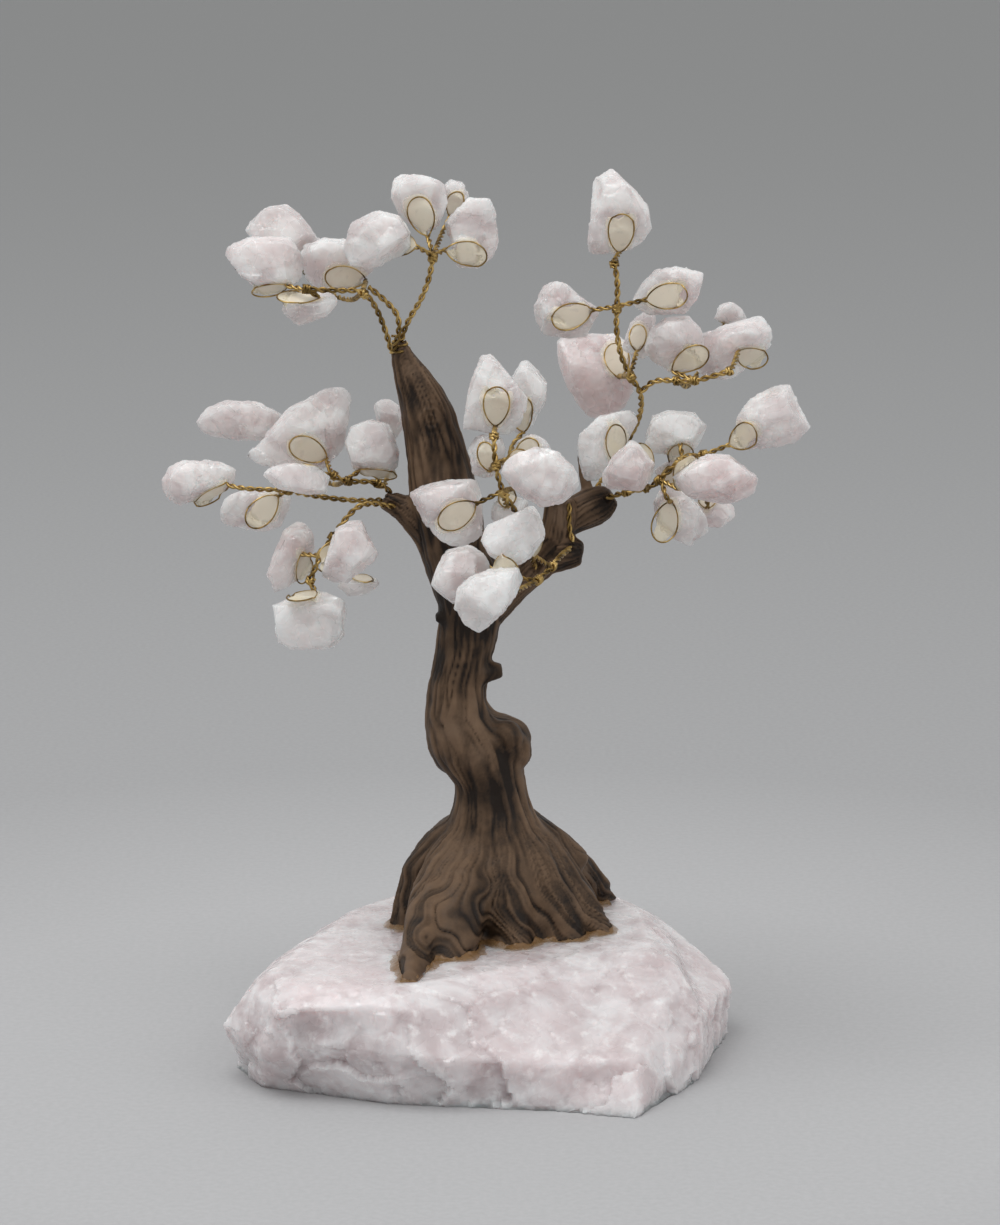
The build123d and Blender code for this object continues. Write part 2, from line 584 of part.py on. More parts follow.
def write_parts():
    """Write one file for each named piece or group."""
    os.makedirs("parts", exist_ok=True)
    wood = trunk()
    pieces = {"base_slab": slab(), "trunk": wood, "foot_glue": foot_glue(wood)}
    for spray in spray_sockets:
        pieces[spray + "_wire"] = spray_wire(spray)
        pieces[spray + "_glue"] = spray_glue(spray)
    for chip_row in chips:
        pieces.setdefault(chip_row["node"], []).append(chip_solid(chip_row))
    for node, shape in pieces.items():
        if isinstance(shape, list):
            shape = shape[0] if len(shape) == 1 else Compound(shape)
        export_step(shape, "parts/" + node + ".step")


write_parts()
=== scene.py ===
import json
import math

import bmesh
import bpy
import numpy as np
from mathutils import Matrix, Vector, noise
from mathutils.bvhtree import BVHTree


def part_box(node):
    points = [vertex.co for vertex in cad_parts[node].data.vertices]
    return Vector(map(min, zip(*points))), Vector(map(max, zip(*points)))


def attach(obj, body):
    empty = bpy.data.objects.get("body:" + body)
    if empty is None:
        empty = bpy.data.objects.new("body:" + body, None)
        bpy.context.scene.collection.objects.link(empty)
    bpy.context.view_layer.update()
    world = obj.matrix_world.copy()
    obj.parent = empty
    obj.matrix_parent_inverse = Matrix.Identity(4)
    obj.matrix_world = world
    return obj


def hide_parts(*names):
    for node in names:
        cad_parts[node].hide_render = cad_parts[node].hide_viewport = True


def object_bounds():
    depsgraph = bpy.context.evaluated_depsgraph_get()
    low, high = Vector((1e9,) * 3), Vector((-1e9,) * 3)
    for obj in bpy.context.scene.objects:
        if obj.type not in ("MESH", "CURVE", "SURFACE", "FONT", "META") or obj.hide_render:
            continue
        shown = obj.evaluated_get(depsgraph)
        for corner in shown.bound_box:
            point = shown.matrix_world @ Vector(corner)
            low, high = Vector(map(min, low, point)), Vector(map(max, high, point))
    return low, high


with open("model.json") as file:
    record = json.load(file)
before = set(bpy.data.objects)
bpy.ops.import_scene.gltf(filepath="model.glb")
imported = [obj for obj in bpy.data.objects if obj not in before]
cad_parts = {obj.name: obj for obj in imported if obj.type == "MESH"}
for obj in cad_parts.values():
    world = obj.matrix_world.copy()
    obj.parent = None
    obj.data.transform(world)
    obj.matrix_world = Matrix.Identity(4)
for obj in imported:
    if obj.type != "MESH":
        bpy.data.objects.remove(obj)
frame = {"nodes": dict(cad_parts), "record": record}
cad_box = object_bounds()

# Gemstone tree: rough rose-quartz chips on twisted brass sprays, a cast bonsai trunk and a quartz slab.
# Lengths are in metres. +Z is up and +Y points away from the viewer.
MM = 0.001

# The photograph's view, and the sizes that its pixel coordinates are read with
picture_columns = 1000
picture_rows = 1225
view_tilt = math.radians(17.0)
view_distance = 750 * MM
axis_column = 487
ground_row = 1042
crown_width = 111.5 * MM
crown_columns = 655
pixel = crown_width / crown_columns
trunk_setback = 7 * MM
crown_depth = 60 * MM
view_right = Vector((1, 0, 0))
view_forward = Vector((0, math.cos(view_tilt), -math.sin(view_tilt)))
view_up = Vector((0, math.sin(view_tilt), math.cos(view_tilt)))
eye = -view_forward * view_distance


def ray_at(column, row):
    """Return the ray from the eye to a pixel, as far off as the view's distance."""
    across = (column - axis_column) * pixel
    above = (ground_row - row) * pixel
    return view_forward * view_distance + view_right * across + view_up * above


def seen_at(column, row, depth_share):
    """Return the point seen at a pixel that lies this share of the crown's depth behind the trunk."""
    ray = ray_at(column, row)
    depth = trunk_setback + depth_share * crown_depth
    return eye + ray * ((depth - eye.y) / ray.y)


# Sprays: the routes of their stems, in columns, rows and depth shares. The first starts in its socket.
spray_routes = {
    "upper_left": [[(391, 348, -0.02), (380, 312, -0.05), (364, 286, -0.09), (335, 287, -0.1),
                    (303, 285, -0.115)]],
    "crown": [[(400, 338, 0.0), (407, 318, -0.03), (420, 298, -0.04), (429, 275, -0.05), (433, 251, -0.05)]],
    "left_high": [[(390, 491, 0.0), (377, 480, -0.04), (345, 481, -0.05), (331, 473, -0.06)]],
    "left_tip": [[(382, 499, 0.01), (360, 500, 0.05), (335, 498, 0.04), (308, 494, 0.02), (286, 489, -0.02)]],
    "left_low": [[(394, 506, -0.03), (362, 501, -0.1), (344, 519, -0.12), (331, 539, -0.12),
                  (320, 555, -0.12), (309, 583, -0.12)]],
    "middle": [[(535, 567, -0.05), (527, 538, -0.2), (517, 512, -0.3), (502, 491, -0.33), (495, 462, -0.32),
                (494, 432, -0.3)]],
    "middle_low": [[(570, 548, -0.075), (560, 556, -0.18), (552, 567, -0.24), (537, 581, -0.3)]],
    "right_high": [
        [(597, 488, 0.05), (613, 462, 0.14), (632, 434, 0.12), (642, 411, 0.06), (642, 390, 0.0),
         (631, 374, -0.02), (621, 352, -0.03), (617, 326, -0.03), (618, 303, -0.03), (619, 278, -0.03),
         (615, 257, -0.03)],
        [(642, 390, 0.0), (655, 377, -0.02), (680, 379, -0.05), (698, 379, -0.06), (733, 368, -0.06)],
    ],
    "right": [[(608, 497, -0.005), (628, 490, -0.06), (648, 488, -0.1), (661, 479, -0.12), (682, 457, -0.1),
               (707, 453, -0.08)]],
}
# Twigs: the spot of the loop on its chip, the fork as a route and a point, and any bends between them
spray_twigs = {
    "upper_left": [
        [(272, 276, -0.03), (0, 4)], [(285, 238, 0.2), (0, 2), (350, 299, 0.1), (312, 282, 0.25)],
        [(353, 272, 0.1), (0, 2)], [(308, 306, -0.08), (0, 4)],
    ],
    "crown": [
        [(395, 236, -0.1), (0, 4)], [(421, 209, 0.07), (0, 4)],
        [(455, 200, 0.22), (0, 4), (442, 228, 0.14)], [(466, 243, 0.07), (0, 4)],
    ],
    "left_high": [
        [(262, 424, 0.2), (0, 2), (332, 486, 0.22), (285, 455, 0.26)], [(310, 444, 0.08), (0, 3)],
        [(374, 464, 0.02), (0, 2)], [(312, 478, -0.13), (0, 3)],
        [(389, 424, 0.2), (0, 1), (385, 488, 0.13), (390, 460, 0.22)],
    ],
    "left_tip": [[(212, 486, 0.0), (0, 4), (246, 488, -0.06)], [(262, 508, 0.08), (0, 4)]],
    "left_low": [
        [(298, 562, -0.02), (0, 4)], [(345, 548, -0.26), (0, 3)],
        [(360, 583, -0.12), (0, 3), (350, 558, -0.1)], [(309, 600, -0.15), (0, 5)],
    ],
    "middle": [
        [(496, 407, -0.18), (0, 5)], [(525, 415, -0.02), (0, 4), (510, 462, -0.2), (511, 445, -0.1)],
        [(520, 478, -0.54), (0, 3)], [(459, 509, -0.24), (0, 3)], [(485, 460, -0.2), (0, 4)],
        [(528, 448, -0.22), (0, 4)], [(508, 508, -0.18), (0, 3)],
    ],
    "middle_low": [[(526, 546, -0.42), (0, 2)], [(475, 572, -0.34), (0, 3)], [(504, 588, -0.52), (0, 3)]],
    "right_high": [
        [(621, 232, 0.08), (0, 10)], [(572, 309, 0.06), (0, 8)], [(668, 291, 0.06), (0, 8)],
        [(616, 372, 0.28), (0, 5)], [(682, 358, 0.05), (1, 3)], [(748, 348, 0.13), (1, 4)],
        [(641, 342, 0.18), (0, 5)], [(732, 312, 0.3), (1, 2), (690, 388, 0.16), (712, 348, 0.3)],
    ],
    "right": [
        [(612, 446, -0.03), (0, 1)], [(640, 470, -0.22), (0, 2)], [(680, 440, 0.0), (0, 4)],
        [(750, 434, -0.05), (0, 5)], [(688, 478, -0.25), (0, 3)],
        [(669, 517, -0.08), (0, 3), (668, 500, -0.18)], [(673, 471, 0.03), (0, 3)],
        [(708, 508, 0.14), (0, 5)],
    ],
}


# Shared helpers

weld_distance = 0.002 * MM
soften_factor = 0.5


def clean_copy(node):
    """Return a bmesh of a CAD node with the split corners of its faces joined."""
    work = bmesh.new()
    work.from_mesh(frame["nodes"][node].data)
    bmesh.ops.remove_doubles(work, verts=work.verts, dist=weld_distance)
    return work


def loose_parts(work):
    """Return the separate solids of a bmesh, each as a list of its vertices."""
    left = list(work.verts)
    parts = []
    while left:
        found = {left[0]}
        waiting = [left[0]]
        while waiting:
            for edge in waiting.pop().link_edges:
                new = set(edge.verts) - found
                found |= new
                waiting += new
        parts.append([vertex for vertex in left if vertex in found])
        left = [vertex for vertex in left if vertex not in found]
    return parts


def part_mesh(work, vertices):
    """Return a mesh of some of a bmesh's vertices and the faces between them."""
    places = {vertex: index for index, vertex in enumerate(vertices)}
    faces = [face.verts for face in work.faces if face.verts[0] in places]
    mesh = bpy.data.meshes.new("part")
    corners = [[places[vertex] for vertex in face] for face in faces]
    mesh.from_pydata([vertex.co[:] for vertex in vertices], [], corners)
    return mesh


def plain_mesh(name, work):
    """Return a bmesh as a mesh, and free it."""
    mesh = bpy.data.meshes.new(name)
    work.to_mesh(mesh)
    work.free()
    return mesh


def joined_mesh(name, meshes):
    """Return one mesh made of several."""
    work = bmesh.new()
    for mesh in meshes:
        work.from_mesh(mesh)
    return plain_mesh(name, work)


def put(name, data):
    """Put a new object in the scene and return it."""
    thing = bpy.data.objects.new(name, data)
    bpy.context.scene.collection.objects.link(thing)
    return thing


def final_mesh(carrier):
    """Remove an object and return the mesh that its modifier or bevel makes."""
    bpy.context.view_layer.update()
    shaped = carrier.evaluated_get(bpy.context.evaluated_depsgraph_get())
    mesh = bpy.data.meshes.new_from_object(shaped)
    bpy.data.objects.remove(carrier)
    return mesh


def fine_mesh(mesh, cell):
    """Return a closed, evenly divided copy of a mesh, with faces about as long as the cell."""
    carrier = put("carrier", mesh)
    remesh = carrier.modifiers.new("even", "REMESH")
    remesh.mode = "VOXEL"
    remesh.voxel_size = cell
    return final_mesh(carrier)


def vertex_values(mesh, kind):
    """Return an array of a mesh's points, kind "co", or of its normals, kind "normal"."""
    flat = np.zeros(len(mesh.vertices) * 3)
    mesh.vertices.foreach_get(kind, flat)
    return flat.reshape(-1, 3)


def write_points(mesh, points):
    """Move a mesh's points, keeping them inside the part's box."""
    inside = np.clip(points, np.array(cad_box[0]), np.array(cad_box[1]))
    mesh.vertices.foreach_set("co", inside.astype(np.float32).ravel())
    mesh.update()


def store_values(mesh, name, values):
    """Keep one number for each vertex, for a material to read."""
    layer = mesh.attributes.new(name, "FLOAT", "POINT")
    layer.data.foreach_set("value", np.asarray(values, dtype=np.float32))


def add_piece(name, mesh, material, body, slot, *nodes):
    """Put a piece in the scene, riding on a body and standing for its CAD nodes."""
    mesh.materials.clear()
    mesh.materials.append(material)
    piece = put(name, mesh)
    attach(piece, body)
    if nodes:
        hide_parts(*nodes)


def skin_of(mesh):
    """Return a search tree of a mesh's faces."""
    work = bmesh.new()
    work.from_mesh(mesh)
    tree = BVHTree.FromBMesh(work)
    work.free()
    return tree


def soften(mesh, low, high, passes):
    """Smooth the part of a mesh between two heights."""
    work = bmesh.new()
    work.from_mesh(mesh)
    chosen = [vertex for vertex in work.verts if low < vertex.co.z < high]
    for _ in range(passes):
        bmesh.ops.smooth_vert(work, verts=chosen, factor=soften_factor,
                              use_axis_x=True, use_axis_y=True, use_axis_z=True)
    work.to_mesh(mesh)
    work.free()


def shade(mesh, sharp_degrees):
    """Smooth a mesh's shading except across edges sharper than an angle."""
    mesh.shade_smooth()
    mesh.set_sharp_from_angle(angle=math.radians(sharp_degrees))


# Materials. A texture's scale is about the number of its features to a metre, and spans are of its values.

cloud_span = (0.36, 0.62)
frost_white = (0.95, 0.94, 0.935)
milky_glass_share = 0.4
quartz_scatter = (1.0, 0.88, 0.86)
quartz_scatter_reach = 5.0 * MM
# Each quartz: its clear, milky and pink colours, the span over which it turns pink, and how glassy it is
quartz_looks = {
    "pale_quartz": [(0.76, 0.69, 0.685), (0.89, 0.865, 0.85), (0.83, 0.72, 0.715), (0.5, 0.78), 0.3],
    "pink_quartz": [(0.76, 0.66, 0.655), (0.88, 0.835, 0.82), (0.82, 0.67, 0.665), (0.44, 0.76), 0.3],
    "white_quartz": [(0.8, 0.77, 0.76), (0.91, 0.9, 0.89), (0.85, 0.8, 0.79), (0.55, 0.8), 0.24],
    "slab_quartz": [(0.62, 0.545, 0.55), (0.77, 0.74, 0.745), (0.71, 0.615, 0.62), (0.46, 0.76), 0.08],
}
# Each glue: its colours where it is thin and thick, and how much it hides where it is thick
glue_looks = {
    "clear_glue": [(0.96, 0.92, 0.8), (0.97, 0.89, 0.7), 0.58],
    "amber_glue": [(0.38, 0.24, 0.11), (0.2, 0.11, 0.045), 0.9],
}
# Colours by height, from the bark's grooves and painted shade to its ridges, and the paler colour of
# rubbed-off finish and painted highlights
bark_colours = [
    (0.3, (0.013, 0.0075, 0.0045)), (0.52, (0.062, 0.037, 0.021)), (0.78, (0.135, 0.083, 0.049)),
    (1.0, (0.185, 0.118, 0.072)),
]
bark_wear_and_highlight = (0.165, 0.108, 0.07)
streak_share = 0.5
# Colours from tarnished to bright brass
brass_colours = [(0.34, (0.11, 0.07, 0.024)), (0.5, (0.32, 0.21, 0.07)), (0.66, (0.62, 0.44, 0.17))]
# Tones of the paper by the share of the way between two distances, a painted pool of light palest close to
# the ornament, and of its grain
light_pool_distances = (0.1, 1.8)
paper_light_pool_tones = [
    (0.0, (0.455, 0.457, 0.464)), (0.06, (0.37, 0.372, 0.378)), (0.3, (0.352, 0.356, 0.36)),
    (1.0, (0.35, 0.355, 0.356)),
]
paper_grain = [(0.35, (0.94, 0.94, 0.94)), (0.65, (1.0, 1.0, 1.0))]


class Shader:
    """A new material with its main shader and short ways to add nodes."""

    def __init__(self, name):
        self.material = bpy.data.materials.new(name)
        self.material.use_nodes = True
        self.tree = self.material.node_tree
        self.main = self.tree.nodes["Principled BSDF"]
        self.place = self.add("ShaderNodeTexCoord", {}).outputs["Object"]

    def give(self, socket, given):
        """Give a socket some numbers or another node's output."""
        if isinstance(given, (int, float)):
            socket.default_value = given
        elif isinstance(given, tuple):
            socket.default_value = (*given, 1) if socket.type == "RGBA" else given
        else:
            self.tree.links.new(given, socket)

    def add(self, kind, inputs, **settings):
        """Add a node, set its properties and give its inputs."""
        node = self.tree.nodes.new(kind)
        for key, value in settings.items():
            setattr(node, key, value)
        for key, given in inputs.items():
            self.give(node.inputs[key], given)
        return node

    def set(self, **inputs):
        """Give inputs of the main shader, named with underscores for spaces."""
        for key, given in inputs.items():
            self.give(self.main.inputs[key.replace("_", " ")], given)

    def noise(self, **inputs):
        """Return the value of a noise texture in the object's own space."""
        return self.add("ShaderNodeTexNoise", {"Vector": self.place, **inputs}).outputs["Fac"]

    def cells(self, scale, output="Distance"):
        """Return an output of a cell texture in the object's own space."""
        return self.add("ShaderNodeTexVoronoi", {"Vector": self.place, "Scale": scale}).outputs[output]

    def ramp(self, value, stops):
        """Return a colour ramp's output for a value. Each stop is a place and a colour."""
        ramp = self.add("ShaderNodeValToRGB", {"Fac": value})
        elements = ramp.color_ramp.elements
        while len(elements) < len(stops):
            elements.new(0.5)
        for element, (place, colour) in zip(elements, stops):
            element.position = place
            element.color = (*colour, 1)
        return ramp.outputs["Color"]

    def mix(self, factor, first, second, blend="MIX"):
        """Return a mix of two colours or outputs."""
        inputs = {0: factor, 6: first, 7: second}
        return self.add("ShaderNodeMix", inputs, data_type="RGBA", blend_type=blend).outputs[2]

    def range(self, value, over, to):
        """Return a value mapped from one span to another and held inside it."""
        inputs = {"Value": value, "From Min": over[0], "From Max": over[1], "To Min": to[0], "To Max": to[1]}
        return self.add("ShaderNodeMapRange", inputs).outputs["Result"]

    def reckon(self, operation, *values, **settings):
        """Return the result of an operation on numbers or outputs."""
        inputs = dict(enumerate(values))
        return self.add("ShaderNodeMath", inputs, operation=operation, **settings).outputs["Value"]

    def attribute(self, name):
        """Return a number kept on the mesh's vertices."""
        return self.add("ShaderNodeAttribute", {}, attribute_name=name).outputs["Fac"]

    def bump(self, *layers):
        """Add bump layers to the main shader. Each is a height, a strength and a distance."""
        below = {}
        for height, strength, distance in layers:
            inputs = {"Height": height, "Strength": strength, "Distance": distance, **below}
            below = {"Normal": self.add("ShaderNodeBump", inputs).outputs["Normal"]}
        self.set(**below)


def quartz_material(name, clear, milk, pink, pink_span, glassy):
    """Return rose quartz: clear with milky clouds, pinker in places, frosted and glinting."""
    shader = Shader(name)
    clouds = shader.noise(Scale=160, Detail=3, Roughness=0.5, Distortion=0.8)
    colour = shader.ramp(clouds, list(zip(cloud_span, (clear, milk))))
    patches = shader.noise(Scale=70, Detail=2, Roughness=0.5)
    colour = shader.mix(shader.range(patches, over=pink_span, to=(0.0, 0.85)), colour, pink)
    frost = shader.noise(Scale=450, Detail=4, Roughness=0.65)
    colour = shader.mix(shader.range(frost, over=(0.55, 0.7), to=(0.0, 0.55)), colour, frost_white)
    glints = shader.range(shader.cells(scale=600, output="Color"), over=(0.25, 0.75), to=(0.06, 0.42))
    glass = shader.range(clouds, over=cloud_span, to=(glassy, milky_glass_share * glassy))
    shader.set(Base_Color=colour, Roughness=glints, Transmission_Weight=glass, IOR=1.54,
               Subsurface_Weight=1.0, Subsurface_Radius=quartz_scatter, Subsurface_Scale=quartz_scatter_reach)
    grain = shader.noise(Scale=1300, Detail=4, Roughness=0.7)
    shader.bump((grain, 0.4, 0.14 * MM), (shader.cells(scale=1000), 0.3, 0.14 * MM))
    return shader.material


def bark_material():
    """Return the trunk's finish: dark in the grooves and in painted shade, brown on the ridges, paler where
    worn and where highlights are painted.
    """
    shader = Shader("cast_bark")
    streaks = shader.noise(Scale=420, Detail=5, Roughness=0.6)
    # The height holds the carving's relief with painted shade taken off it
    height = shader.reckon("MULTIPLY_ADD", streaks, streak_share, shader.attribute("relief_and_shade"))
    patchy = shader.range(streaks, over=(0.3, 0.65), to=(0.45, 1.15))
    # Paler where the finish is worn and where highlights are painted
    highlight_and_wear = shader.reckon("MULTIPLY", shader.attribute("highlight_and_wear"), patchy, use_clamp=True)
    colour = shader.mix(highlight_and_wear, shader.ramp(height, bark_colours), bark_wear_and_highlight)
    gloss = shader.range(streaks, over=(0.3, 0.7), to=(0.45, 0.68))
    shader.set(Base_Color=colour, Roughness=gloss, Specular_IOR_Level=0.22)
    shader.bump((shader.noise(Scale=1300, Detail=4, Roughness=0.6), 0.35, 0.2 * MM))
    return shader.material


def brass_material():
    """Return brass wire, bright in places and tarnished in others."""
    shader = Shader("brass_wire")
    colour = shader.ramp(shader.noise(Scale=330, Detail=3, Roughness=0.6), brass_colours)
    gloss = shader.range(shader.noise(Scale=1600, Detail=2, Roughness=0.55), over=(0.3, 0.7), to=(0.26, 0.46))
    shader.set(Base_Color=colour, Roughness=gloss, Metallic=1.0)
    shader.bump((shader.noise(Scale=4000, Detail=2, Roughness=0.55), 0.15, 0.05 * MM))
    return shader.material


def glue_material(name, thin, thick, cover):
    """Return dried glue, deeper in colour and less clear where it is thick."""
    shader = Shader(name)
    cloud = shader.range(shader.noise(Scale=700, Detail=3, Roughness=0.55), over=(0.3, 0.7), to=(-0.25, 0.25))
    depth = shader.reckon("ADD", shader.attribute("depth"), cloud)
    colour = shader.ramp(depth, [(0.1, thin), (0.8, thick)])
    shader.set(Base_Color=colour, Alpha=shader.range(depth, over=(0.0, 0.9), to=(0.12, cover)),
               Roughness=0.3, IOR=1.48)
    shader.bump((shader.noise(Scale=1200, Detail=2, Roughness=0.55), 0.2, 0.1 * MM))
    return shader.material


def paper_material():
    """Return the plain grey paper under the ornament, with a painted pool of light that makes it paler close
    to it.
    """
    shader = Shader("paper")
    grain = shader.noise(Scale=900, Detail=3, Roughness=0.6)
    away = shader.add("ShaderNodeVectorMath", {0: shader.place}, operation="LENGTH").outputs["Value"]
    # Painted light: the paper's tone is palest close to the ornament and darker further off
    tone = shader.ramp(shader.range(away, over=light_pool_distances, to=(0.0, 1.0)), paper_light_pool_tones)
    colour = shader.mix(1.0, tone, shader.ramp(grain, paper_grain), "MULTIPLY")
    shader.set(Base_Color=colour, Roughness=0.9, Specular_IOR_Level=0.2)
    shader.bump((grain, 0.1, 0.1 * MM))
    return shader.material


quartz = {name: quartz_material(name, *look) for name, look in quartz_looks.items()}
glue = {name: glue_material(name, *look) for name, look in glue_looks.items()}
brass = brass_material()


# Seats: where each loop is glued to its chip, read from the dabs of glue

stem_strand = 0.48 * MM
twig_strand = 0.43 * MM
loop_strand = 0.27 * MM
twist_pitch = 3.2 * MM
twist_slack_share = 0.58
route_step = 0.22 * MM
twig_diameter = 0.95 * MM
glue_clearance = 0.03 * MM


class Seat:
    """A dab's flat underside: its middle, the direction it faces, and the loop's radius."""

    def __init__(self, vertices):
        points = np.array([vertex.co[:] for vertex in vertices])
        middle = points.mean(axis=0)
        spread = np.linalg.svd(points - middle)[2]
        axis = spread[2]
        heights = (points - middle) @ axis
        rims = [points[heights < 0], points[heights >= 0]]
        radii = [np.linalg.norm(rim - rim.mean(axis=0), axis=1).max() for rim in rims]
        base = 0 if radii[0] > radii[1] else 1
        self.middle = Vector(rims[base].mean(axis=0))
        self.facing = (Vector(rims[1 - base].mean(axis=0)) - self.middle).normalized()
        self.radius = radii[base] + twig_diameter / 2 + glue_clearance


def spray_seats(spray):
    """Return a spray's seats, in the order of its twigs."""
    work = clean_copy(spray + "_glue")
    seats = [Seat(vertices) for vertices in loose_parts(work)]
    work.free()
    spots = [seen_at(*twig[0]) for twig in spray_twigs[spray]]
    pairs = [((seat.middle - spot).length, row, column)
             for row, spot in enumerate(spots) for column, seat in enumerate(seats)]
    chosen = {}
    for _, row, column in sorted(pairs):
        if row not in chosen and seats[column] not in chosen.values():
            chosen[row] = seats[column]
    return [chosen[row] for row in range(len(spots))]


seats_of = {spray: spray_seats(spray) for spray in spray_routes}


# Chips

stone_cell = 0.36 * MM
stone_sharp = 17
chip_seed = 100
seat_margin = 0.9 * MM
seat_depth = 0.5 * MM
swell = 0.16 * MM
# Flats broken off each stone: how many, and the least and most of its reach that one takes.
# Most flats of the second kind face the viewer or away, so that they leave the outline as it is.
edge_flats = (4, 0.0, 0.03)
face_flats = (14, 0.08, 0.26)
face_flat_spread = np.array([0.38, 1, 0.38])
# Breaks on the stones: how many to a metre, and how steep
wide_breaks = (170, 0.09)
middle_breaks = (420, 0.2)
fine_breaks = (950, 0.28)
# Unevenness, as features to a metre and height. The first says where a stone is rugged.
rugged_noise = (170, 2.4)
rugged_usual = 0.2
stone_grit = (1700, 0.05 * MM)
outward_limit = 0.22 * MM
# Layers of unevenness: how fast finer ones fade, how much finer each is, and how many
grit_layers = (0.8, 2.0, 3)
# A break's tilt comes from a pattern of values from 0 to 1, read this far apart
tilt_spread = 7.3
tilt_middle = Vector((0.5, 0.5, 0.5))


def cleave(points, draws, keep, count, low, high, spread):
    """Slide what stands beyond each of some random planes back onto it."""
    middle = points.mean(axis=0)
    for _ in range(count):
        normal = draws.normal(size=3) * spread
        normal /= np.linalg.norm(normal)
        heights = (points - middle) @ normal
        level = heights.max() * (1 - draws.uniform(low, high))
        over = np.maximum(heights - level, 0) * keep
        points = points - over[:, None] * normal
    return points


def scars(points, frequency, slope):
    """Return the depths of small flat breaks, each tilted its own way."""
    depths = np.zeros(len(points))
    for index, point in enumerate(points):
        spot = Vector(point) * frequency
        cell = noise.voronoi(spot)[1][0]
        tilt = noise.cell_vector(cell * tilt_spread) - tilt_middle
        depths[index] = (spot - cell).dot(tilt) * slope / frequency
    return depths


def grit(points, frequency, height):
    """Return a fine unevenness."""
    return np.array([noise.fractal(Vector(point) * frequency, *grit_layers) * height for point in points])


def away_from_seats(points, seats):
    """Return 0 for points on a seat's flat, rising to 1 clear of it."""
    keep = np.ones(len(points))
    for seat in seats:
        offset = points - np.array(seat.middle)
        height = np.abs(offset @ np.array(seat.facing))
        across = np.sqrt(np.maximum((offset ** 2).sum(axis=1) - height ** 2, 0))
        clear = np.maximum((across - seat.radius) / seat_margin, height / seat_depth - 1)
        keep = np.minimum(keep, np.clip(clear, 0, 1))
    return keep


def rough_stone(mesh, seats, draws):
    """Return a stone's mesh with broken flats and scars, rugged on some sides."""
    stone = fine_mesh(mesh, stone_cell)
    points = vertex_values(stone, "co")
    keep = away_from_seats(points, seats)
    points = points + vertex_values(stone, "normal") * (swell * keep)[:, None]
    points = cleave(points, draws, keep, *edge_flats, np.ones(3))
    points = cleave(points, draws, keep, *face_flats, face_flat_spread)
    write_points(stone, points)
    rugged = np.clip(rugged_usual + grit(points, *rugged_noise), 0, 1)
    small = scars(points, *middle_breaks) + scars(points, *fine_breaks)
    depth = scars(points, *wide_breaks) + rugged * small + grit(points, *stone_grit)
    depth = np.minimum(depth, outward_limit) * keep
    write_points(stone, points + vertex_values(stone, "normal") * depth[:, None])
    shade(stone, stone_sharp)
    return stone


def add_chips(spray, seed):
    """Replace a spray's plain chips with rough stones, and return a search tree of them."""
    body = spray + "_spray"
    slots = {row["node"]: row["material_slot"] for row in frame["record"]["subparts"]}
    pieces = []
    for number, node in enumerate(frame["record"]["behaviour"]["bodies"][body]):
        if "chip" not in node:
            continue
        draws = np.random.RandomState(seed + number)
        work = clean_copy(node)
        stones = [rough_stone(part_mesh(work, part), seats_of[spray], draws) for part in loose_parts(work)]
        work.free()
        stone = joined_mesh(node + "_stone", stones)
        add_piece(node + "_stone", stone, quartz[slots[node]], body, slots[node], node)
        pieces.append(stone)
    return skin_of(joined_mesh("skins", pieces))


skins = {}
for place, spray in enumerate(spray_routes):
    skins[spray] = add_chips(spray, chip_seed * (place + 1))


# Twisted brass: stems, twigs and loops

corner_rounds = 3
corner_cut = 0.25
shortest_step = 1e-9
wire_sides = 3
# A loop's length, width and least and most reach as shares of its ring's size, and its pointedness
loop_long_share = 1.5
loop_wide_share = 1.04
loop_entry_least = 0.75
loop_entry_most = 1.25
loop_point_power = 0.4
# A loop with its fork nearer than this share points back along the stem
near_fork_share = 1.25
near_fork_lead = 4 * MM
# A loop lies just above its stone and is open by some steps at its tail
loop_lift = 0.11 * MM
loop_fall = 0.8 * MM
loop_smooths = 4
loop_gap = 2
# A twig's wires go round the stem at their fork
wrap_turns = 1.0
wrap_pitch = 1.0 * MM
wrap_steps = 12
wrap_press = 0.36
wrap_radius = stem_strand + wrap_press * twig_strand
fork_look_back = 4
# Routes of second stems beside the first
spare_stems = {
    "upper_left": [[(393, 347, -0.04), (399, 330, -0.075), (398, 311, -0.085), (384, 296, -0.095),
                    (368, 283, -0.09)]],
}


def smooth_route(points):
    """Return a route as points spaced alike, with its corners cut so that it bends softly."""
    for _ in range(corner_rounds):
        cut = [points[0]]
        for before, after in zip(points, points[1:]):
            cut.append(before.lerp(after, corner_cut))
            cut.append(before.lerp(after, 1 - corner_cut))
        points = cut + [points[-1]]
    lengths = [0.0]
    for before, after in zip(points, points[1:]):
        lengths.append(lengths[-1] + (after - before).length)
    count = max(2, round(lengths[-1] / route_step))
    spaced = []
    place = 0
    for index in range(count + 1):
        target = lengths[-1] * index / count
        while place < len(points) - 2 and lengths[place + 1] < target:
            place += 1
        share = (target - lengths[place]) / max(lengths[place + 1] - lengths[place], shortest_step)
        spaced.append(points[place].lerp(points[place + 1], share))
    return spaced


def direction_at(route, index):
    """Return the direction of a route at one of its points."""
    return (route[min(index + 1, len(route) - 1)] - route[max(index - 1, 0)]).normalized()


def strand_pair(route, first_side, strand):
    """Return two strands wound round a route, the first starting on the given side."""
    pair = [[], []]
    side = first_side
    turned = 0.0
    for index, point in enumerate(route):
        along = direction_at(route, index)
        side = (side - along * side.dot(along)).normalized()
        if index:
            turned += (point - route[index - 1]).length * math.tau / twist_pitch
        outward = side * math.cos(turned) + along.cross(side) * math.sin(turned)
        offset = outward * (strand * twist_slack_share)
        pair[0].append(point + offset)
        pair[1].append(point - offset)
    return pair


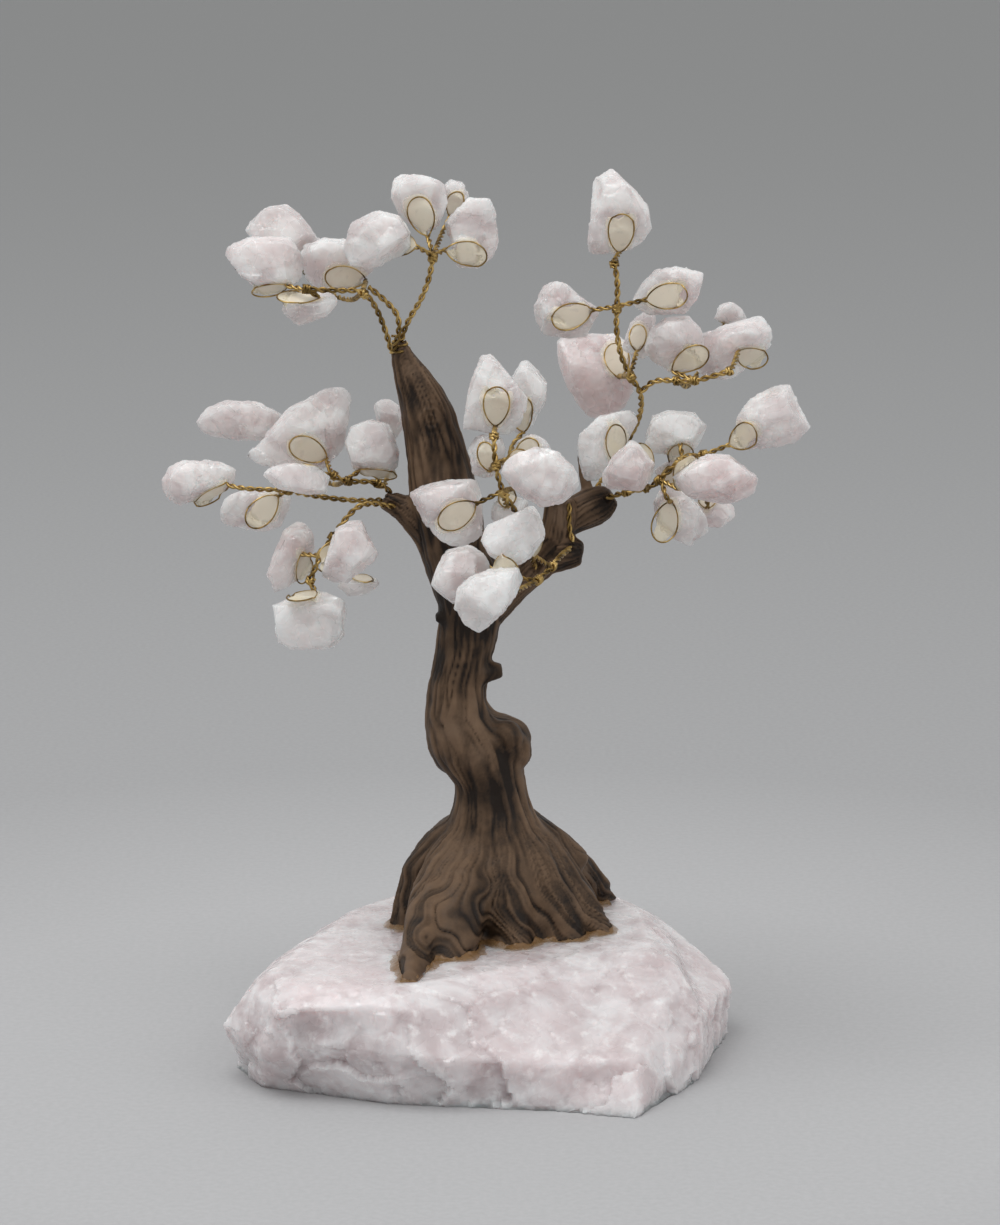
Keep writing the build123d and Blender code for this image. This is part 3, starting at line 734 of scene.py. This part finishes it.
def fork_of(twig, stems, routes):
    """Return the stem that a twig leaves, and the number of the nearest point on it."""
    route, point = twig[1]
    spot = routes[route][point]
    return min(((stem, index) for stem in stems for index in range(len(stem))),
               key=lambda place: (place[0][place[1]] - spot).length)


def aim_loop(twig, seat, stem, index):
    """Set which way a loop's two ends leave it, and how far it is shifted that way."""
    fork = stem[index]
    lead = (seen_at(*twig[-1]) if len(twig) > 2 else fork) - seat.middle
    lead = lead - seat.facing * lead.dot(seat.facing)
    if lead.length < near_fork_share * seat.radius:
        lead = fork - direction_at(stem, index) * near_fork_lead - seat.middle
        lead = lead - seat.facing * lead.dot(seat.facing)
    seat.tail = lead.normalized()
    away = (fork - seat.middle).dot(seat.tail) / seat.radius
    seat.shift = min(max(away, loop_entry_least), loop_entry_most) - loop_long_share


def skin_height(skin, spot, facing, limit):
    """Return how far a skin lies above a spot, or 0 where it has none within the limit."""
    distance = skin.ray_cast(spot + facing * limit, -facing, 2 * limit)[3]
    return 0.0 if distance is None else limit - distance


def on_loop(seat, angle, share):
    """Return a point on a loop's drop-shaped line, or at a share of the way to it."""
    beside = seat.facing.cross(seat.tail)
    along = math.cos(angle) * loop_long_share * share + seat.shift
    width = math.sin(angle) * abs(math.sin(angle / 2)) ** loop_point_power * loop_wide_share * share
    return seat.middle + (seat.tail * along + beside * width) * seat.radius


def loop_points(seat, skin):
    """Return the line of a loop on its stone, from one side of its tail to the other."""
    count = round(math.tau * seat.radius / route_step)
    steps = range(loop_gap, count - loop_gap + 1)
    spots = [on_loop(seat, math.tau * index / count, 1.0) for index in steps]
    heights = np.array([skin_height(skin, spot, seat.facing, loop_fall) for spot in spots])
    for _ in range(loop_smooths):
        ends = np.concatenate([heights[:1], heights, heights[-1:]])
        heights = np.maximum(heights, (ends[:-2] + ends[1:-1] + ends[2:]) / 3)
    return [spot + seat.facing * (height + loop_lift) for spot, height in zip(spots, heights)]


def wrap(stem, index, outward, start_angle):
    """Return turns of wire round a stem, starting at a point of it."""
    turns = []
    step = -1 if index * route_step > wrap_turns * wrap_pitch else 1
    for count in range(round(wrap_turns * wrap_steps) + 1):
        place = index + step * round(count * wrap_pitch / wrap_steps / route_step)
        place = min(max(place, 0), len(stem) - 1)
        along = direction_at(stem, place)
        side = (outward - along * outward.dot(along)).normalized()
        angle = start_angle + count * math.tau / wrap_steps
        centre = stem[place] + along * (step * count * wrap_pitch / wrap_steps % route_step)
        turns.append(centre + (side * math.cos(angle) + along.cross(side) * math.sin(angle)) * wrap_radius)
    return turns


def twig_strand_points(twig, seat, stems, routes, skin):
    """Return one wire's points and thicknesses: round the fork, along a twig, round a loop and back."""
    stem, index = fork_of(twig, stems, routes)
    bends = [seen_at(*place) for place in twig[2:]]
    aim_loop(twig, seat, stem, index)
    entry = on_loop(seat, 0.0, 1.0) + seat.facing * (2 * loop_lift)
    path = smooth_route([entry] + bends[::-1] + [stem[index]])
    out, back = strand_pair(path, seat.facing.cross(seat.tail), twig_strand)
    outward = (path[-min(fork_look_back, len(path))] - path[-1]).normalized()
    first_wrap = wrap(stem, index, outward, 0.0)
    second_wrap = wrap(stem, index, outward, math.pi)
    ring = loop_points(seat, skin)
    lead = [(point, twig_strand) for point in first_wrap[::-1] + out[::-1]]
    loop = [(point, loop_strand) for point in ring]
    return lead + loop + [(point, twig_strand) for point in back + second_wrap]


def wire_mesh(name, strands):
    """Return a mesh of round wires, each given as points and thicknesses."""
    curve = bpy.data.curves.new(name, "CURVE")
    curve.dimensions = "3D"
    curve.bevel_depth = stem_strand / 2
    curve.bevel_resolution = wire_sides
    curve.use_fill_caps = True
    for strand in strands:
        spline = curve.splines.new("POLY")
        spline.points.add(len(strand) - 1)
        for spot, (point, thickness) in zip(spline.points, strand):
            spot.co = (*point, 1)
            spot.radius = thickness / stem_strand
    mesh = final_mesh(put("carrier", curve))
    mesh.shade_smooth()
    return mesh


def twisted(route, strand):
    """Return the two strands of a twisted wire along a route, as points and thicknesses."""
    return [[(point, strand) for point in line] for line in strand_pair(route, view_forward, strand)]


def add_wire(spray):
    """Replace a spray's plain wire with twisted strands."""
    routes = [[seen_at(*place) for place in route] for route in spray_routes[spray]]
    stems = [smooth_route(route) for route in routes]
    spares = [smooth_route([seen_at(*place) for place in route]) for route in spare_stems.get(spray, [])]
    strands = [strand for stem in stems + spares for strand in twisted(stem, stem_strand)]
    for twig, seat in zip(spray_twigs[spray], seats_of[spray]):
        strands.append(twig_strand_points(twig, seat, stems, routes, skins[spray]))
    mesh = wire_mesh(spray + "_strands", strands)
    add_piece(spray + "_twist", mesh, brass, spray + "_spray", "brass_wire", spray + "_wire")


# Films of glue in and round the loops

film_height = 0.26 * MM
film_reach_share = 1.38
film_least_share = 1.02
film_fall = 0.9 * MM
film_rings = 9
film_sides = 36
film_sink = 0.1 * MM
film_wobble = 0.12
film_lobes = 4
film_sharp = 50
film_seed = 700


def film_reach(seat, skin, angle):
    """Return the share of a loop's size that the stone's skin reaches to in one direction."""
    reach = film_reach_share
    for step in range(film_rings, 0, -1):
        share = film_reach_share * step / film_rings
        spot = on_loop(seat, angle, share)
        if skin.ray_cast(spot + seat.facing * film_fall, -seat.facing, 2 * film_fall)[3] is None:
            reach = share - film_reach_share / film_rings
    return max(reach, film_least_share)


def film_mesh(seat, skin, draws):
    """Return a low dome of glue over a loop and the stone round it, with an uneven edge."""
    phases = draws.uniform(0, math.tau, film_lobes)
    angles = [math.tau * side / film_sides for side in range(film_sides)]
    reaches = [film_reach(seat, skin, angle) for angle in angles]
    middle = on_loop(seat, 0.0, 0.0)
    points = [middle + seat.facing * (skin_height(skin, middle, seat.facing, film_fall) + film_height)]
    depths = [1.0]
    for ring in range(1, film_rings + 1):
        share = ring / film_rings
        height = film_height * math.sqrt(max(1 - share ** 2, 0)) - (film_sink if ring == film_rings else 0)
        for angle, reach in zip(angles, reaches):
            waves = [math.sin((lobe + 1) * angle + phase) for lobe, phase in enumerate(phases)]
            size = min(reach * share * (1 + sum(waves) * film_wobble * share), reach)
            spot = on_loop(seat, angle, size)
            points.append(spot + seat.facing * (skin_height(skin, spot, seat.facing, film_fall) + height))
            depths.append(min(1.0, max(0.0, (film_reach_share - size) / (film_reach_share - 1))))
    faces = [(0, 1 + side, 1 + (side + 1) % film_sides) for side in range(film_sides)]
    for ring in range(film_rings - 1):
        inner = 1 + ring * film_sides
        outer = inner + film_sides
        for side in range(film_sides):
            following = (side + 1) % film_sides
            faces.append((inner + side, outer + side, outer + following, inner + following))
    faces.append(tuple(1 + (film_rings - 1) * film_sides + side for side in reversed(range(film_sides))))
    mesh = bpy.data.meshes.new("film")
    mesh.from_pydata([point[:] for point in points], [], faces)
    store_values(mesh, "depth", depths)
    return mesh


def add_glue(spray, seed):
    """Replace a spray's plain dabs with films of glue."""
    draws = np.random.RandomState(seed)
    films = [film_mesh(seat, skins[spray], draws) for seat in seats_of[spray]]
    mesh = joined_mesh(spray + "_film", films)
    shade(mesh, film_sharp)
    add_piece(spray + "_film", mesh, glue["clear_glue"], spray + "_spray", "clear_glue", spray + "_glue")


for place, spray in enumerate(spray_routes):
    add_wire(spray)
    add_glue(spray, film_seed + place)


# Slab

slab_cell = 0.62 * MM
slab_sharp = 28
slab_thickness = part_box("base_slab")[1].z
slab_passes = 14
# Breaks on the slab: how many to a metre, and how steep. They go inwards from its outline.
slab_breaks = [(95, 0.3), (230, 0.24), (560, 0.22)]
slab_grit = (260, 0.2 * MM)
slab_inset = 0.5 * MM
# The breaks are faint on the top, weaker where a side leans in, and level near the foot
top_share = 0.22
lean_limit = 1.3
slab_foot = 1.6 * MM


def add_slab():
    """Replace the plain slab with a rough one, broken inwards from the same outline."""
    mesh = fine_mesh(plain_mesh("slab", clean_copy("base_slab")), slab_cell)
    soften(mesh, slab_foot, slab_thickness, slab_passes)
    points = vertex_values(mesh, "co")
    normals = vertex_values(mesh, "normal")
    up = np.clip(normals[:, 2], 0, 1)
    keep = (1 - up * (1 - top_share)) * np.clip(normals[:, 2] + lean_limit, 0, 1)
    normals[:, 2] = normals[:, 2] * np.clip(points[:, 2] / slab_foot, 0, 1)
    depth = sum(scars(points + shift, *breaks) for shift, breaks in enumerate(slab_breaks))
    depth = depth + grit(points, *slab_grit)
    depth = np.minimum(depth - slab_inset, 0) * keep
    write_points(mesh, points + normals * depth[:, None])
    shade(mesh, slab_sharp)
    add_piece("rough_slab", mesh, quartz["slab_quartz"], "stand", "slab_quartz", "base_slab")


add_slab()


# Trunk

bark_cell = 0.36 * MM
bark_sharp = 60
bark_passes = 4
# The roots' skirt is smoothed more, up to this row
skirt_passes = 30
skirt_row = 800
# The trunk's middle line from foot to tip, then its limbs': column, row, depth share and half width in pixels
trunk_line = [
    (503, 975, 0.03, 92), (501, 925, 0.03, 88), (500, 865, 0.02, 68), (490, 820, 0.0, 45),
    (489, 785, 0.0, 36), (482, 748, 0.0, 46), (459, 712, 0.0, 34), (459, 680, 0.0, 29),
    (467, 640, 0.0, 29), (470, 600, 0.0, 33), (452, 540, 0.0, 34), (443, 490, 0.0, 34),
    (433, 435, 0.0, 29), (417, 385, 0.0, 21), (398, 338, 0.0, 9),
]
limb_lines = [
    [(455, 560, 0.0, 24), (428, 530, 0.0, 18), (403, 508, 0.0, 13), (383, 498, 0.0, 10)],
    [(472, 618, 0.0, 24), (503, 597, 0.0, 16), (533, 571, -0.01, 15), (553, 545, -0.02, 17)],
    [(556, 550, -0.02, 16), (560, 518, -0.02, 17), (560, 498, -0.02, 15)],
    [(556, 532, 0.0, 13), (583, 511, 0.02, 19), (603, 502, 0.03, 17), (614, 496, 0.03, 9)],
    [(548, 560, -0.02, 14), (568, 551, -0.03, 18), (583, 553, -0.03, 11)],
]
# Small knobs on the bark: column, row, depth share and radius in pixels
bark_knobs = [
    (412, 868, 0.0, 12), (578, 860, 0.04, 11), (553, 838, 0.01, 9), (512, 737, 0.0, 18),
    (517, 753, 0.0, 16), (507, 735, 0.05, 17), (507, 735, -0.05, 17),
]
knob_divisions = 2
# Hollows in the bark's outline: column, row, depth share, radius in pixels and depth
bark_hollows = [(496, 704, 0.0, 17, 1.3 * MM), (452, 778, 0.0, 16, 0.7 * MM)]
# Healed knots on the front: column, row, radius in pixels and depth
bark_knots = [(431, 417, 21, 0.55 * MM), (442, 727, 5, 0.5 * MM), (470, 560, 12, 0.4 * MM)]
knot_ring = 1.1 * MM
knot_ripple = 0.4
# Spots where the finish is paler, partly rubbed off and partly painted highlights on bulges such as the elbow
# and the knee: column, row, radius in pixels and how much
highlight_and_wear_spots = [
    (452, 728, 22, 0.75), (478, 756, 16, 0.6), (559, 516, 15, 1.0), (587, 868, 9, 0.9),
    (410, 368, 13, 0.45), (440, 470, 16, 0.3), (432, 690, 12, 0.3),
]
# Spots of painted shade that darken the finish: column, row, radius in pixels and how much
painted_shade_spots = [
    (466, 575, 45, 0.28), (464, 630, 45, 0.36), (462, 672, 30, 0.25), (606, 505, 20, 0.45),
    (580, 552, 17, 0.42), (492, 790, 30, 0.28), (518, 752, 16, 0.2), (424, 540, 18, 0.2),
    (432, 430, 13, 0.22), (500, 600, 20, 0.3),
]
spot_fall = 2
# The roots' skirt grows between two radii, and its grain turns by so much to a metre
skirt_start = 5.5 * MM
skirt_full = 14 * MM
skirt_twist = 26.0
# Grooves: how many go round, how many to a metre along, a start in their pattern, and width
broad_grooves = (10, 45, 0.0, 0.4)
skirt_grooves = (110, 20, 5.0, 0.34)
fine_grooves = (24, 80, 9.0, 0.35)
groove_detail = 0.35
groove_detail_scale = 2.1
# Carving: depths, and the part of a groove's height that stays at the plain surface
broad_share = 0.05
broad_level = 0.6
broad_skirt_loss = 0.7
skirt_depth = 0.4 * MM
fine_depth = 0.25 * MM
groove_level = 0.75
lump_height = 0.45 * MM
foot_fade = 0.8 * MM
# Features to a metre and height, for the grain's sway and for lumps
sway_noise = (50, 0.32)
lump_noise = (180, 0.5)
fine_sway = 0.5
# What adds to the finish's tone and takes from it
broad_tone = 0.22
lump_tone = 0.25
grain_tone = 0.42
plain_tone = 0.08
tone_drop = 0.1


def round_trunk(points):
    """Return each point's angle round the trunk or its limb, its place along it, and the radius there."""
    spots = np.array([seen_at(*place[:3]) for place in trunk_line])
    radii = np.array([place[3] * pixel for place in trunk_line])
    middle = [np.interp(points[:, 2], spots[:, 2], spots[:, axis]) for axis in (0, 1)]
    girth = np.interp(points[:, 2], spots[:, 2], radii)
    across, deep = points[:, 0] - middle[0], points[:, 1] - middle[1]
    angle = np.arctan2(deep, across)
    place = points[:, 2].copy()
    best = np.hypot(across, deep) / girth
    for line in limb_lines:
        spots = [np.array(seen_at(*spot[:3])) for spot in line]
        axis = spots[-1] - spots[0]
        axis /= np.linalg.norm(axis)
        side = np.cross(axis, np.array(view_forward))
        side /= np.linalg.norm(side)
        front = np.cross(side, axis)
        for number in range(len(line) - 1):
            run = spots[number + 1] - spots[number]
            share = np.clip((points - spots[number]) @ run / (run @ run), 0, 1)
            radius = (line[number][3] * (1 - share) + line[number + 1][3] * share) * pixel
            offset = points - spots[number] - share[:, None] * run
            ratio = np.linalg.norm(offset, axis=1) / radius
            nearer = ratio < best
            best = np.where(nearer, ratio, best)
            angle = np.where(nearer, np.arctan2(offset @ front, offset @ side), angle)
            place = np.where(nearer, (points - spots[0]) @ axis, place)
            girth = np.where(nearer, radius, girth)
    return angle, place, girth


def grooves(angle, place, count, stretch, start, width):
    """Return narrow grooves that run along the grain: 0 in the middle of one and 1 beside it."""
    reach = count / math.tau
    heights = np.zeros(len(angle))
    for index in range(len(angle)):
        across, deep = math.cos(angle[index]) * reach, math.sin(angle[index]) * reach
        spot = Vector((across, deep, place[index] * stretch + start))
        detail = groove_detail * noise.noise(spot * groove_detail_scale)
        heights[index] = abs(noise.noise(spot) + detail) / width
    return np.clip(heights, 0, 1)


def seen_on(skin, column, row):
    """Return the point of a mesh that is seen at a pixel."""
    return skin.ray_cast(eye, (seen_at(column, row, 0.0) - eye).normalized())[0]


def near(points, spot, radius):
    """Return 1 at a spot, falling softly to 0 beyond a radius."""
    return np.exp(-spot_fall * ((points - np.array(spot)) ** 2).sum(axis=1) / radius ** 2)


def spot_values(points, skin, spots):
    """Return how strongly spots on the front of a mesh mark each of its points."""
    values = np.zeros(len(points))
    for column, row, radius, strength in spots:
        values = np.maximum(values, near(points, seen_on(skin, column, row), radius * pixel) * strength)
    return values


def plain_trunk():
    """Return the trunk's mesh with its small knobs grown on and its joints softened."""
    work = clean_copy("trunk")
    for column, row, depth, radius in bark_knobs:
        ball = bmesh.ops.create_icosphere(work, subdivisions=knob_divisions, radius=radius * pixel)
        bmesh.ops.translate(work, verts=ball["verts"], vec=seen_at(column, row, depth))
    mesh = fine_mesh(plain_mesh("trunk", work), bark_cell)
    soften(mesh, 0.0, cad_box[1].z, bark_passes)
    soften(mesh, slab_thickness + bark_cell, seen_at(axis_column, skirt_row, 0.0).z, skirt_passes)
    return mesh


def add_trunk():
    """Replace the plain trunk with one carved along its grain, and return a search tree of its skin."""
    mesh = plain_trunk()
    skin = skin_of(mesh)
    points = vertex_values(mesh, "co")
    angle, place, girth = round_trunk(points)
    sway = grit(points, *sway_noise)
    skirt = np.clip((girth - skirt_start) / (skirt_full - skirt_start), 0, 1)
    flow = angle + sway + skirt_twist * (place - slab_thickness) * skirt
    broad = grooves(angle + sway, place, *broad_grooves)
    strands = grooves(flow, place, *skirt_grooves)
    fine = grooves(angle + fine_sway * sway, place, *fine_grooves)
    lumps = grit(points, *lump_noise)
    depth = (broad - broad_level) * broad_share * girth * (1 - broad_skirt_loss * skirt) + lumps * lump_height
    depth = depth + (strands - groove_level) * skirt_depth * skirt
    depth = depth + (fine - groove_level) * fine_depth * (1 - skirt)
    for column, row, radius, deep in bark_knots:
        centre = np.array(seen_on(skin, column, row))
        away = np.linalg.norm(points - centre, axis=1)
        rings = np.cos(away / knot_ring * math.tau) * knot_ripple + np.clip(1 - away / knot_ring, 0, 1)
        depth = depth - near(points, centre, radius * pixel) * rings * deep
    for column, row, depth_share, radius, deep in bark_hollows:
        depth = depth - near(points, seen_at(column, row, depth_share), radius * pixel) * deep
    foot = np.clip((points[:, 2] - slab_thickness) / foot_fade, 0, 1)
    write_points(mesh, points + vertex_values(mesh, "normal") * (depth * foot)[:, None])
    grain = strands * skirt + fine * (1 - skirt)
    tone = broad_tone * broad + lump_tone * lumps + grain_tone * grain + plain_tone
    # Painted shade: the tone is darkened at the spots of shade
    tone = tone - spot_values(points, skin, painted_shade_spots)
    store_values(mesh, "relief_and_shade", np.clip(tone, 0, 1) - tone_drop)
    # Paler spots of real wear and of painted highlights
    store_values(mesh, "highlight_and_wear", spot_values(points, skin, highlight_and_wear_spots))
    shade(mesh, bark_sharp)
    add_piece("carved_trunk", mesh, bark_material(), "stand", "cast_bark", "trunk")
    return skin_of(mesh)


bark_skin = add_trunk()


# Wire wound on the bark

binding_turns = 3
binding_pitch = 0.9 * MM
binding_steps = 20
binding_slack = 0.1 * MM
binding_foot = (399, 349, 0.0)
binding_head = (398, 336, 0.0)
binding_radius = 10 * pixel
# Columns and rows that a wire on the front of the right stub is seen at
stub_wire = [(569, 503), (570, 510), (569, 519), (570, 530), (573, 541)]


def add_windings():
    """Add the turns of wire on the tall limb's tip and the twisted wire on the right stub."""
    foot, head = seen_at(*binding_foot), seen_at(*binding_head)
    along = (head - foot).normalized()
    side = along.cross(view_forward).normalized()
    front = along.cross(side)
    turns = []
    for count in range(binding_turns * binding_steps + 1):
        angle = math.tau * count / binding_steps
        outward = side * math.cos(angle) + front * math.sin(angle)
        centre = foot + along * (binding_pitch * count / binding_steps)
        distance = bark_skin.ray_cast(centre + outward * binding_radius, -outward, binding_radius)[3]
        reach = binding_radius - distance if distance is not None else binding_radius / 2
        turns.append((centre + outward * (reach + binding_slack), stem_strand))
    on_stub = []
    for column, row in stub_wire:
        spot = seen_on(bark_skin, column, row)
        on_stub.append(spot + (eye - spot).normalized() * (stem_strand / 2))
    strands = [turns] + twisted(smooth_route(on_stub), twig_strand)
    add_piece("bark_windings", wire_mesh("windings", strands), brass, "stand", "brass_wire")


add_windings()


# Glue round the foot

foot_cell = 0.32 * MM
bead_height = 0.8 * MM
bead_reach = 2.3 * MM
bead_sink = 0.7 * MM
bead_top = 0.6 * MM
# Shares of the bead's reach: the usual one, how it changes along the roots, and the least and most
bead_usual = 0.55
bead_noise = (130, 1.1)
bead_limits = (0.15, 1.3)
bead_ripple = (500, 0.5)


def add_foot_glue():
    """Replace the plain pad of glue with an uneven bead along the roots, sunk elsewhere."""
    mesh = fine_mesh(plain_mesh("foot_glue", clean_copy("foot_glue")), foot_cell)
    points = vertex_values(mesh, "co")
    away = np.array([bark_skin.find_nearest(Vector(point))[3] for point in points])
    reach = bead_reach * np.clip(bead_usual + grit(points, *bead_noise), *bead_limits)
    share = np.clip(1 - away / reach, 0, 1)
    upper = np.clip((points[:, 2] - slab_thickness) / bead_top, 0, 1)
    height = share * bead_height * (1 + grit(points, *bead_ripple)) - bead_sink * (1 - share)
    points[:, 2] = slab_thickness - bead_sink + upper * (height + bead_sink)
    write_points(mesh, points)
    mesh.shade_smooth()
    store_values(mesh, "depth", share)
    add_piece("foot_bead", mesh, glue["amber_glue"], "stand", "amber_glue", "foot_glue")


add_foot_glue()


# Paper, light and camera

paper_half = 8.0
# Lamps: place, size and watts
lamps = {"key": ((-0.35, -0.2, 1.15), 0.8, 7.0), "fill": ((0.8, -0.6, 0.6), 0.9, 2.0)}
lamp_target = Vector((0, 0, 0.08))
world_strength = 0.66

paper_mesh = bpy.data.meshes.new("paper")
corners = [(x * paper_half, y * paper_half, 0) for x, y in ((-1, -1), (1, -1), (1, 1), (-1, 1))]
paper_mesh.from_pydata(corners, [], [(0, 1, 2, 3)])
paper_mesh.materials.append(paper_material())
paper = put("paper", paper_mesh)

for name, (place, size, power) in lamps.items():
    lamp = bpy.data.lights.new(name, "AREA")
    lamp.size = size
    lamp.energy = power
    holder = put(name, lamp)
    holder.location = place
    holder.rotation_euler = (lamp_target - Vector(place)).to_track_quat("-Z", "Y").to_euler()

world = bpy.data.worlds.new("studio")
world.use_nodes = True
background = world.node_tree.nodes["Background"]
background.inputs["Color"].default_value = (1, 1, 1, 1)
background.inputs["Strength"].default_value = world_strength
bpy.context.scene.world = world

# The camera stands at the photograph's place and points at the middle of its picture
camera = bpy.data.cameras.new("camera")
middle_ray = ray_at(picture_columns / 2, picture_rows / 2)
camera.sensor_fit = "HORIZONTAL"
camera.lens = camera.sensor_width * middle_ray.length / (picture_columns * pixel)
holder = put("camera", camera)
holder.location = eye
holder.rotation_euler = middle_ray.to_track_quat("-Z", "Y").to_euler()
bpy.context.scene.camera = holder
bpy.context.scene.view_settings.view_transform = "Standard"
